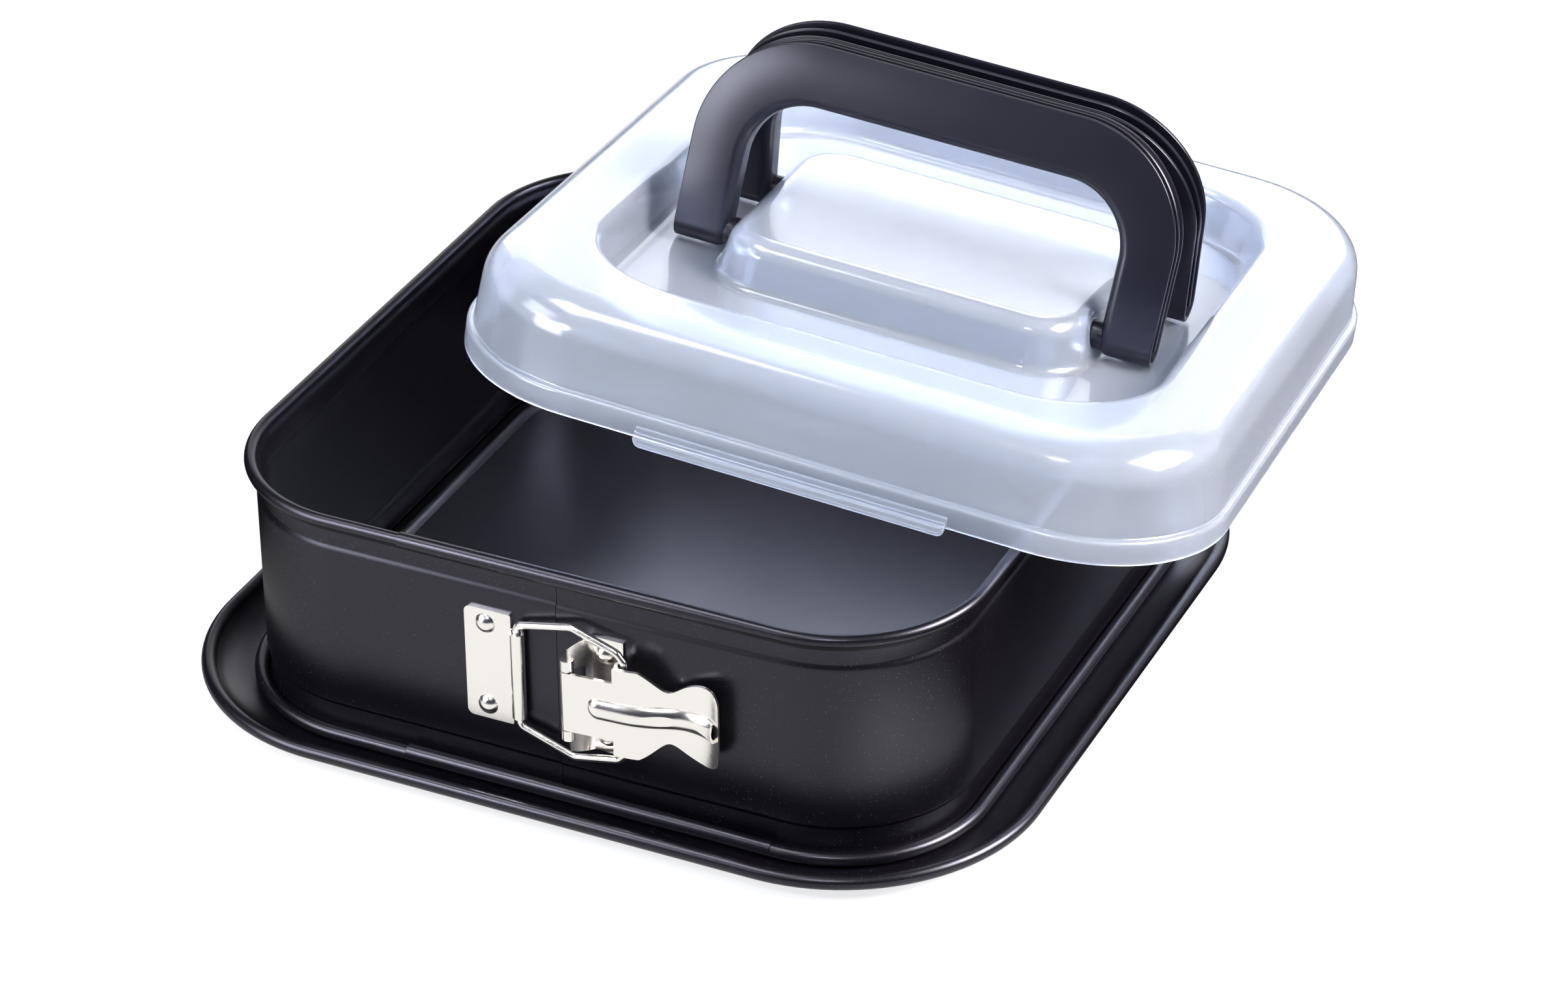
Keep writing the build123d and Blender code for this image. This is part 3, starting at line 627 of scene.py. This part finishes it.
def turn_faces(piece, outwards):
    """Makes the faces agree, and flips them if the outermost one that way looks the other way."""
    bpy.ops.object.mode_set(mode="EDIT")
    bpy.ops.mesh.select_all(action="SELECT")
    bpy.ops.mesh.normals_make_consistent(inside=False)
    bpy.ops.object.mode_set(mode="OBJECT")
    furthest = max(piece.data.polygons, key=lambda face: face.center.dot(outwards))
    if furthest.normal.dot(outwards) < 0:
        bpy.ops.object.mode_set(mode="EDIT")
        bpy.ops.mesh.flip_normals()
        bpy.ops.object.mode_set(mode="OBJECT")


def lay(piece, place):
    """Moves a mesh to its place; its object stays at the origin."""
    bpy.ops.object.mode_set(mode="OBJECT")
    piece.data.transform(place)


def finish_piece(piece, body, slot, material, *nodes):
    """Smooths a piece, gives it its finish, ties it to its body, and hides the solids it stands for."""
    bpy.ops.object.mode_set(mode="OBJECT")
    bpy.ops.object.select_all(action="DESELECT")
    piece.select_set(True)
    bpy.context.view_layer.objects.active = piece
    bpy.ops.object.shade_smooth_by_angle(angle=SHARP)
    piece.data.materials.clear()
    piece.data.materials.append(material)
    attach(piece, body)
    if nodes:
        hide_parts(*nodes)


# ------------------------------------------------------------------ sections and outlines
def arc(centre, radius, first, last, steps):
    """Points on an arc in the section plane; angles in degrees from outwards, turning up."""
    angles = [math.radians(first + (last - first) * i / steps) for i in range(steps + 1)]
    return [(centre[0] + radius * math.cos(a), centre[1] + radius * math.sin(a)) for a in angles]


def ease(first, last, steps=6):
    """Points on a soft S from one place of the section to another, without its two ends."""
    points = []
    for i in range(1, steps):
        t = i / steps
        soft = t * t * (3 - 2 * t)
        points.append((first[0] + (last[0] - first[0]) * soft, first[1] + (last[1] - first[1]) * t))
    return points


def bow(first, middle, last, steps):
    """Points on the curve through three places of a section."""
    points = []
    for i in range(steps + 1):
        t = i / steps
        weights = ((1 - t) * (1 - 2 * t), 4 * t * (1 - t), t * (2 * t - 1))
        places = (first, middle, last)
        points.append(tuple(sum(w * p[k] for w, p in zip(weights, places)) for k in (0, 1)))
    return points


def round_corner(before, corner, after, radius, steps):
    """Points on the arc that rounds a corner of a section."""
    corner = Vector(corner)
    arrive = (Vector(before) - corner).normalized()
    leave = (Vector(after) - corner).normalized()
    half_angle = arrive.angle(leave) / 2
    centre = corner + (arrive + leave).normalized() * (radius / math.sin(half_angle))
    reach = radius / math.tan(half_angle)
    first = corner + arrive * reach - centre
    last = corner + leave * reach - centre
    turn = math.atan2(first.x * last.y - first.y * last.x, first.dot(last))
    points = []
    for i in range(steps + 1):
        cos, sin = math.cos(turn * i / steps), math.sin(turn * i / steps)
        points.append((centre.x + first.x * cos - first.y * sin,
                       centre.y + first.x * sin + first.y * cos))
    return points


def rounded_section(places):
    """A section through places of (across, up) or (across, up, radius, steps)."""
    points = [places[0][:2]]
    for before, here, after in zip(places, places[1:], places[2:]):
        if len(here) == 2:
            points.append(here)
        else:
            points += round_corner(before[:2], here[:2], after[:2], here[2], here[3])
    return points + [places[-1][:2]]


def draw_section(name, x, wall, section):
    """Draws a section of a front wall as a line of edges: out of the wall, and up."""
    places = [Vector((x, -wall - out, up)) for out, up in section]
    piece = start(name, bpy.ops.mesh.primitive_plane_add, size=MM, location=places[0])
    bpy.ops.mesh.merge(type="CENTER")
    for here, there in zip(places, places[1:]):
        bpy.ops.mesh.extrude_vertices_move(TRANSFORM_OT_translate={"value": there - here})
    return piece


def sweep_round(piece):
    """Spins a section round one corner, draws it out to the walls' middles, and mirrors it twice."""
    straight = RIM_HALF - CORNER
    bpy.ops.mesh.select_all(action="SELECT")
    bpy.ops.mesh.spin(steps=CORNER_STEPS, angle=math.radians(90), center=(straight, -straight, 0),
                      axis=(0, 0, -1))
    pick("VERT", lambda co: abs(co.y + straight) < NEAR)
    extend((0, straight, 0))
    pick("VERT", lambda co: abs(co.x - straight) < NEAR and co.y < -straight)
    extend((-straight, 0, 0))
    add_modifier(piece, "MIRROR", use_axis=(True, True, False), merge_threshold=MERGE)


def level_plate(half_x, half_y, corner, z, steps):
    """Adds a level plate with round corners and leaves its face selected."""
    bpy.ops.mesh.select_all(action="DESELECT")
    bpy.ops.mesh.primitive_plane_add(size=2, location=(0, 0, z))
    bpy.ops.transform.resize(value=(half_x, half_y, 1), center_override=(0, 0, z))
    bpy.ops.mesh.bevel(offset=corner, segments=steps, affect="VERTICES")
    bpy.ops.mesh.select_linked()
    bpy.ops.mesh.select_mode(type="FACE")


def follow(section):
    """Insets the selected face along a section of (inwards, along its normal) places."""
    for (inwards, out), (next_inwards, next_out) in zip(section, section[1:]):
        bpy.ops.mesh.inset(thickness=next_inwards - inwards, depth=next_out - out)


def open_up():
    """Takes away the selected face and leaves its edges."""
    bpy.ops.mesh.delete(type="ONLY_FACE")


# ------------------------------------------------------------------ ring
def wall_section(offset):
    """The main wall from above the foot to below the rim, this far outside its outer face."""
    groove, wall, neck = GROOVE + offset, WALL + offset, NECK + offset
    low = (groove, GROOVE_Z - STEP)
    high = (wall, GROOVE_Z)
    shoulder = (wall, SHOULDER_Z - STEP)
    top = (neck, SHOULDER_Z)
    return [low, *ease(low, high), high, shoulder, *ease(shoulder, top), top]


def lap_section(offset):
    """The wall from the bead up to the rolled rim, this far outside its outer face."""
    return [(GROOVE + offset, LAP_FOOT_Z), *wall_section(offset), (NECK + offset, LEDGE_Z)]


def ring_wall():
    """The ring's sheet, from the curl of the bead up to the free edge of the rolled rim."""
    foot = (GROOVE - SHEET, BEAD_Z + 1.5 * MM)
    section = arc((BEAD_OUT, BEAD_Z), BEAD, 195, -90, 22)
    section += bow((BEAD_OUT - 0.6 * MM, FOOT_Z), (GROOVE + 0.5 * MM, FOOT_Z + 0.7 * MM), foot, 6)
    section += wall_section(-SHEET)
    neck_top = (NECK - SHEET, LEDGE_Z + 1.0 * MM)
    section += [neck_top, *ease(neck_top, (-RIM, RIM_Z), 5)]
    section += arc((0, RIM_Z), RIM, 180, -48, 20)
    section += [(LEDGE, LEDGE_Z)]
    piece = draw_section("ring_wall", RIM_HALF - CORNER, RIM_HALF, section)
    sweep_round(piece)
    turn_faces(piece, Vector((0, 0, 1)))
    add_modifier(piece, "SOLIDIFY", thickness=SHEET, offset=-1.0, use_even_offset=True)
    cut_with(piece, seam_gap(), "DIFFERENCE")
    finish_piece(piece, "ring", "pan_coating", COATING, "ring_band")


def seam_gap():
    """A thin strip along the seam that is cut out of the wall, so that the seam shows as a line."""
    tool = draw_section("seam_gap", SEAM_X - SEAM_GAP, RIM_HALF, lap_section(OVERLAP))
    bpy.ops.mesh.select_all(action="SELECT")
    extend((SEAM_GAP, 0, 0))
    turn_faces(tool, Vector((0, -1, 0)))
    add_modifier(tool, "SOLIDIFY", thickness=SEAM_DEPTH, offset=-1.0)
    return tool


def ring_lap():
    """The outer sheet where the ring's ends overlap: it ends in a clean edge at the seam."""
    piece = draw_section("ring_lap", SEAM_X, RIM_HALF, lap_section(LAP))
    bpy.ops.mesh.select_all(action="SELECT")
    extend((LAP_FLAT, 0, 0))
    extend((LAP_FADE, LAP - LAP_END, 0))
    turn_faces(piece, Vector((0, -1, 0)))
    add_modifier(piece, "SOLIDIFY", thickness=LAP, offset=-1.0)
    finish_piece(piece, "ring", "pan_coating", COATING)


def rolled_sleeve(name, centre, radius, first, last):
    """The overlapping end of a rolled edge, which thins out on the right."""
    full = radius + SLEEVE
    piece = draw_section(name, SLEEVE_LEFT, RIM_HALF, arc(centre, full, first, last, 24))
    bpy.ops.mesh.select_all(action="SELECT")
    flat_end = SEAM_X + LAP_FLAT
    extend((flat_end - SLEEVE_LEFT, 0, 0))
    extend((LAP_FADE, 0, 0))
    middle = (flat_end + LAP_FADE, -RIM_HALF - centre[0], centre[1])
    shrink = (radius + SLEEVE_END) / full
    bpy.ops.transform.resize(value=(1, shrink, shrink), center_override=middle)
    turn_faces(piece, Vector((0, -1, 0)))
    add_modifier(piece, "SOLIDIFY", thickness=SLEEVE, offset=-1.0)
    finish_piece(piece, "ring", "pan_coating", COATING)


# ------------------------------------------------------------------ tray
def tray():
    """The base tray: floor, centring rib, channel for the ring, dished flange and rolled rim."""
    rim = (TRAY_RIM_OUT, TRAY_RIM_Z)
    section = [(TRAY_FLOOR, SHEET), (RIB_START - 1.2 * MM, SHEET)]
    section += bow((RIB_START, SHEET), ((RIB_START + RIB_END) / 2, SHEET + RIB), (RIB_END, SHEET), 12)
    section += [(RIB_END + 1.0 * MM, SHEET), (FLANGE - 1.0 * MM, SHEET)]
    lip = (TRAY_RIM_OUT - TRAY_RIM - 0.2 * MM, TRAY_RIM_Z - 0.3 * MM)
    section += bow((FLANGE, SHEET), (FLANGE + FLANGE_DISH.x, SHEET + FLANGE_DISH.y), lip, 14)
    section += arc(rim, TRAY_RIM, 172, -100, 24)
    piece = draw_section("tray_pan", RIM_HALF - CORNER, RIM_HALF, section)
    sweep_round(piece)
    inner = RIM_HALF + TRAY_FLOOR + MERGE
    bpy.ops.object.mode_set(mode="EDIT")
    pick("EDGE", lambda a, b: max(abs(a.x), abs(a.y), abs(b.x), abs(b.y)) < inner)
    bpy.ops.mesh.edge_face_add()
    turn_faces(piece, Vector((0, 0, 1)))
    add_modifier(piece, "SOLIDIFY", thickness=SHEET, offset=-1.0, use_even_offset=True)
    finish_piece(piece, "tray", "pan_coating", COATING, "base_tray")


# ------------------------------------------------------------------ lid
def joint(name):
    return next(row for row in frame["joints"] if row["name"] == name)


def lid_frame():
    """The lid's own frame: X and Y across it, Z up through it, from the middle of its lower edge."""
    front, rear = joint("front_handle_fold"), joint("rear_handle_fold")
    front_pivot, rear_pivot = Vector(front["pos_m"]), Vector(rear["pos_m"])
    along = Vector(front["axis"]).normalized()
    back = (rear_pivot - front_pivot).normalized()
    up = along.cross(back).normalized()
    middle = (front_pivot + rear_pivot) / 2 - up * PIVOT_Z
    return Matrix.Translation(middle) @ Matrix((along, back, up)).transposed().to_4x4()


LID_PLACE = lid_frame()


def lid_dome():
    """Skirt, step and dome, up to the level land round the recess."""
    rise = DOME - SKIRT
    level_plate(LID_HALF, LID_HALF, LID_CORNER, 0, LID_STEPS)
    section = rounded_section([
        (0, 0), (0, SKIRT, SKIRT_ROUND, 5), (SKIRT_STEP, SKIRT, STEP_ROUND, 4),
        (SKIRT_STEP + rise * math.tan(DOME_DRAFT), DOME, DOME_ROUND, 20), (2 * DOME, DOME)])
    follow(section[:-1])
    open_up()


def lid_recess():
    """The recess, from its lip down to its floor."""
    sink = DOME - RECESS_FLOOR
    lip = 2 * RECESS_LIP_ROUND
    section = rounded_section([
        (0, DOME), (lip, DOME, RECESS_LIP_ROUND, 9),
        (lip + sink * math.tan(RECESS_DRAFT), RECESS_FLOOR, RECESS_FLOOR_ROUND, 8),
        (lip + 2 * sink, RECESS_FLOOR)])
    grow = lip - section[1][0]
    level_plate(RECESS_HALF + grow, RECESS_HALF + grow, RECESS_CORNER + grow, DOME, LID_STEPS)
    follow(section[1:-1])
    open_up()


def lid_island():
    """The raised island between the handles."""
    rise = DOME - RECESS_FLOOR
    foot = 2 * ISLAND_FOOT_ROUND
    section = rounded_section([
        (0, RECESS_FLOOR), (foot, RECESS_FLOOR, ISLAND_FOOT_ROUND, 7),
        (foot + rise * math.tan(ISLAND_DRAFT), DOME, ISLAND_ROUND, 12), (foot + 2 * rise, DOME)])
    grow = foot - section[1][0]
    level_plate(ISLAND_HALF.x + grow, ISLAND_HALF.y + grow, ISLAND_CORNER + grow, RECESS_FLOOR,
                LID_STEPS)
    follow(section[1:-1])


def pivot_cylinder(side, end, radius, inner_x, outer_x):
    """A round tool on one handle's axis, at one end of the island."""
    place = (end * (inner_x + outer_x) / 2, side * PIVOT_SPREAD / 2, PIVOT_Z)
    tool = start("tool", bpy.ops.mesh.primitive_cylinder_add, vertices=48, radius=radius,
                 depth=outer_x - inner_x, location=place, rotation=(0, math.pi / 2, 0))
    bpy.ops.object.mode_set(mode="OBJECT")
    return tool


def lifting_tab(side):
    """The soft-ridged grip along the middle of the skirt's front or rear."""
    # out of the skirt, up, and the round there with its steps
    section = rounded_section([
        (-0.7 * MM, TAB_TOP), (0.9 * MM, TAB_TOP, 0.5 * MM, 4), (1.15 * MM, 2.3 * MM, 0.4 * MM, 3),
        (1.55 * MM, 2.1 * MM, 0.3 * MM, 3), (1.75 * MM, 0.7 * MM, 0.4 * MM, 3),
        (2.1 * MM, 0.5 * MM, 0.3 * MM, 3), (2.3 * MM, -0.8 * MM, 0.4 * MM, 3),
        (TAB_OUT, -1.0 * MM, 0.3 * MM, 3), (TAB_OUT, -TAB_DROP, 0.5 * MM, 4),
        (1.2 * MM, -TAB_DROP, 0.5 * MM, 4), (-0.7 * MM, 0.1 * MM), (-0.7 * MM, TAB_TOP)])
    tab = draw_section("tab", -TAB_HALF, LID_HALF, section)
    bpy.ops.mesh.select_all(action="SELECT")
    bpy.ops.mesh.remove_doubles(threshold=NEAR)
    bpy.ops.mesh.edge_face_add()
    bpy.ops.mesh.select_mode(type="FACE")
    tall = TAB_TOP + TAB_DROP
    ends = [TAB_CORNER * (1 - math.cos(math.radians(15 * i))) for i in range(7)]

    def height(place):
        """The tab's height near its end: the lower corner is rounded."""
        return tall - TAB_CORNER + math.sqrt(max(0, TAB_CORNER ** 2 - (TAB_CORNER - place) ** 2))

    stations = [(end, height(end)) for end in ends]
    stations += [(2 * TAB_HALF - end, height(end)) for end in reversed(ends)]
    top = Vector((0, -LID_HALF, TAB_TOP))
    along, before = 0, tall
    for place, here in stations:
        if place > along:
            extend((place - along, 0, 0))
        bpy.ops.transform.resize(value=(1, 1, here / before), center_override=top)
        along, before = place, here
    turn_faces(tab, Vector((0, -1, 0)))
    if side > 0:
        tab.data.transform(Matrix.Rotation(math.pi, 4, "Z"))
    return tab


def clear_lid():
    """The lid's shell with the four bearings of the handles and its two lifting tabs."""
    piece = clear_start("clear_lid")
    lid_dome()
    lid_recess()
    lid_island()
    for height in (DOME, RECESS_FLOOR):
        pick_open_edges(2, height)
        bpy.ops.mesh.bridge_edge_loops()
    turn_faces(piece, Vector((0, 0, 1)))
    add_modifier(piece, "SOLIDIFY", thickness=LID_WALL, offset=-1.0, use_even_offset=True)
    for side in (-1, 1):
        for end in (-1, 1):
            eye = pivot_cylinder(side, end, EYE_RADIUS, POCKET_X - EYE_DEPTH, POCKET_X + OVERLAP)
            cut_with(piece, eye, "UNION")
            pocket = pivot_cylinder(side, end, POCKET_RADIUS, POCKET_X, POCKET_X + 2 * POCKET_RADIUS)
            cut_with(piece, pocket, "DIFFERENCE")
            bore = pivot_cylinder(side, end, BORE_RADIUS, POCKET_X - 2 * EYE_DEPTH, POCKET_X + EYE_DEPTH)
            cut_with(piece, bore, "DIFFERENCE")
        cut_with(piece, lifting_tab(side), "UNION")
    lay(piece, LID_PLACE)
    finish_piece(piece, "lid", "lid_plastic", MILKY, "lid_shell")


# ------------------------------------------------------------------ handles
def standing_plate(half, top, corner, y, steps):
    """Adds an arch's outline, facing -Y and reaching far below its feet; its face is selected."""
    bottom = -HANDLE_REACH
    middle = (0, y, (top + bottom) / 2)
    bpy.ops.mesh.select_all(action="DESELECT")
    bpy.ops.mesh.primitive_plane_add(size=2, location=middle, rotation=(math.pi / 2, 0, 0))
    bpy.ops.transform.resize(value=(half, 1, (top - bottom) / 2), center_override=middle)
    bpy.ops.mesh.select_mode(type="VERT")
    bpy.ops.object.mode_set(mode="OBJECT")
    mesh = bpy.context.object.data
    upper = {v.index for v in mesh.vertices if v.select and v.co.z > 0}
    pick_numbers(upper)
    bpy.ops.mesh.bevel(offset=corner, segments=steps, affect="VERTICES")
    bpy.ops.mesh.select_linked()
    bpy.ops.mesh.select_mode(type="FACE")


def handle_boss(end):
    """The round boss on a leg's inner side, with its peg."""
    inner = HANDLE_HALF - HANDLE_LEG
    boss_end = POCKET_X + BOSS_PLAY
    tool = start("boss", bpy.ops.mesh.primitive_cylinder_add, vertices=48, radius=BOSS_RADIUS,
                 depth=inner + MM - boss_end, location=(end * (inner + MM + boss_end) / 2, 0, 0),
                 rotation=(0, math.pi / 2, 0))
    pick("FACE", lambda centre, normal: abs(centre.x) < boss_end + NEAR)
    bpy.ops.mesh.inset(thickness=BOSS_RADIUS - PEG_RADIUS, depth=0)
    extend((-end * PEG_LENGTH, 0, 0))
    edge = boss_end + NEAR
    pick("EDGE", lambda a, b: abs(a.x) < edge and abs(b.x) < edge and abs(a.x - b.x) < NEAR
         and (a + b).yz.length / 2 > PEG_RADIUS)
    bpy.ops.mesh.bevel(offset=BOSS_ROUND, segments=3, affect="EDGES")
    bpy.ops.object.mode_set(mode="OBJECT")
    return tool


def under_outline(co):
    """How far a place on a handle lies inside its outer outline."""
    across = HANDLE_HALF - abs(co.x)
    down = HANDLE_REACH - co.z
    if across < HANDLE_CORNER and down < HANDLE_CORNER:
        return HANDLE_CORNER - math.hypot(HANDLE_CORNER - across, HANDLE_CORNER - down)
    return min(across, down)


def handle_blank():
    """One handle standing on its pivots, which run along X through the origin."""
    half_thick = HANDLE_THICK / 2
    web = HANDLE_WALL / 2
    cheek = half_thick - HANDLE_WALL
    edge = HANDLE_EDGE
    piece = clear_start("handle")
    standing_plate(HANDLE_HALF, HANDLE_REACH, HANDLE_CORNER, 0, HANDLE_STEPS)
    follow([(0, 0), (0, web - edge), (edge, web), (HANDLE_GROOVE, web), (HANDLE_GROOVE, cheek)])
    open_up()
    standing_plate(HANDLE_HALF, HANDLE_REACH, HANDLE_CORNER, -cheek, HANDLE_STEPS)
    side = round_corner((0, 0), (0, half_thick), (HANDLE_LEG, half_thick), HANDLE_SIDE_ROUND, 3)
    follow([(0, cheek), *side])
    open_up()
    pick_open_edges(1, -cheek)
    bpy.ops.mesh.bridge_edge_loops()
    pick("EDGE", lambda a, b: all(
        abs(end.y + cheek) < NEAR and under_outline(end) < NEAR for end in (a, b)))
    bpy.ops.mesh.bevel(offset=edge, segments=2, affect="EDGES")
    soft = HANDLE_SOFT_EDGE
    standing_plate(HANDLE_HALF - HANDLE_LEG + soft, HANDLE_REACH - HANDLE_BAR + soft,
                   HANDLE_INNER_CORNER + soft, -half_thick, HANDLE_STEPS)
    turn = round_corner((0, half_thick), (soft, half_thick), (soft, 0), soft, 9)
    follow([*turn, (soft, 0)])
    open_up()
    pick_open_edges(1, -half_thick)
    bpy.ops.mesh.bridge_edge_loops()
    bpy.ops.mesh.select_all(action="SELECT")
    bpy.ops.mesh.bisect(plane_co=(0, 0, 0), plane_no=(0, 0, 1), clear_inner=True)
    pick_open_edges(2, 0)
    bpy.ops.mesh.spin(steps=12, angle=math.radians(90), center=(0, 0, 0), axis=(-1, 0, 0))
    bpy.ops.mesh.select_all(action="SELECT")
    bpy.ops.mesh.remove_doubles(threshold=NEAR)
    add_modifier(piece, "MIRROR", use_axis=(False, True, False), merge_threshold=MERGE)
    turn_faces(piece, Vector((0, 0, 1)))
    for end in (-1, 1):
        cut_with(piece, handle_boss(end), "UNION")
    return piece


def folding_handles():
    """The two handles, standing against each other; both are the same moulding."""
    first = handle_blank()
    second = first.copy()
    second.data = first.data.copy()
    bpy.context.scene.collection.objects.link(second)
    for piece, side, name in ((first, -1, "front"), (second, 1, "rear")):
        lean = math.radians(joint(f"{name}_handle_fold")["range_deg"][1] - 90)
        pivot = Matrix.Translation((0, side * PIVOT_SPREAD / 2, PIVOT_Z))
        lay(piece, LID_PLACE @ pivot @ Matrix.Rotation(side * lean, 4, "X"))
        piece.name = f"{name}_carrying_handle"
        finish_piece(piece, f"{name}_grip", "handle_plastic", BLACK, f"{name}_handle")


# ------------------------------------------------------------------ the whole carrier
def dress_nodes():
    """The solids that show as they are get their finishes."""
    finishes = {"pan_coating": COATING, "nickel": NICKEL, "lid_plastic": MILKY, "handle_plastic": BLACK}
    for part in frame["record"]["subparts"]:
        mesh = frame["nodes"][part["node"]].data
        mesh.materials.clear()
        mesh.materials.append(finishes[part["material_slot"]])


make_camera()
make_lights()
make_world()
make_floor()
dress_nodes()
ring_wall()
ring_lap()
rolled_sleeve("rim_sleeve", (0, RIM_Z), RIM, 190, -60)
rolled_sleeve("bead_sleeve", (BEAD_OUT, BEAD_Z + SLEEVE), BEAD, 175, -80)
tray()
clear_lid()
folding_handles()

scene = bpy.context.scene
scene.view_settings.view_transform = "Standard"
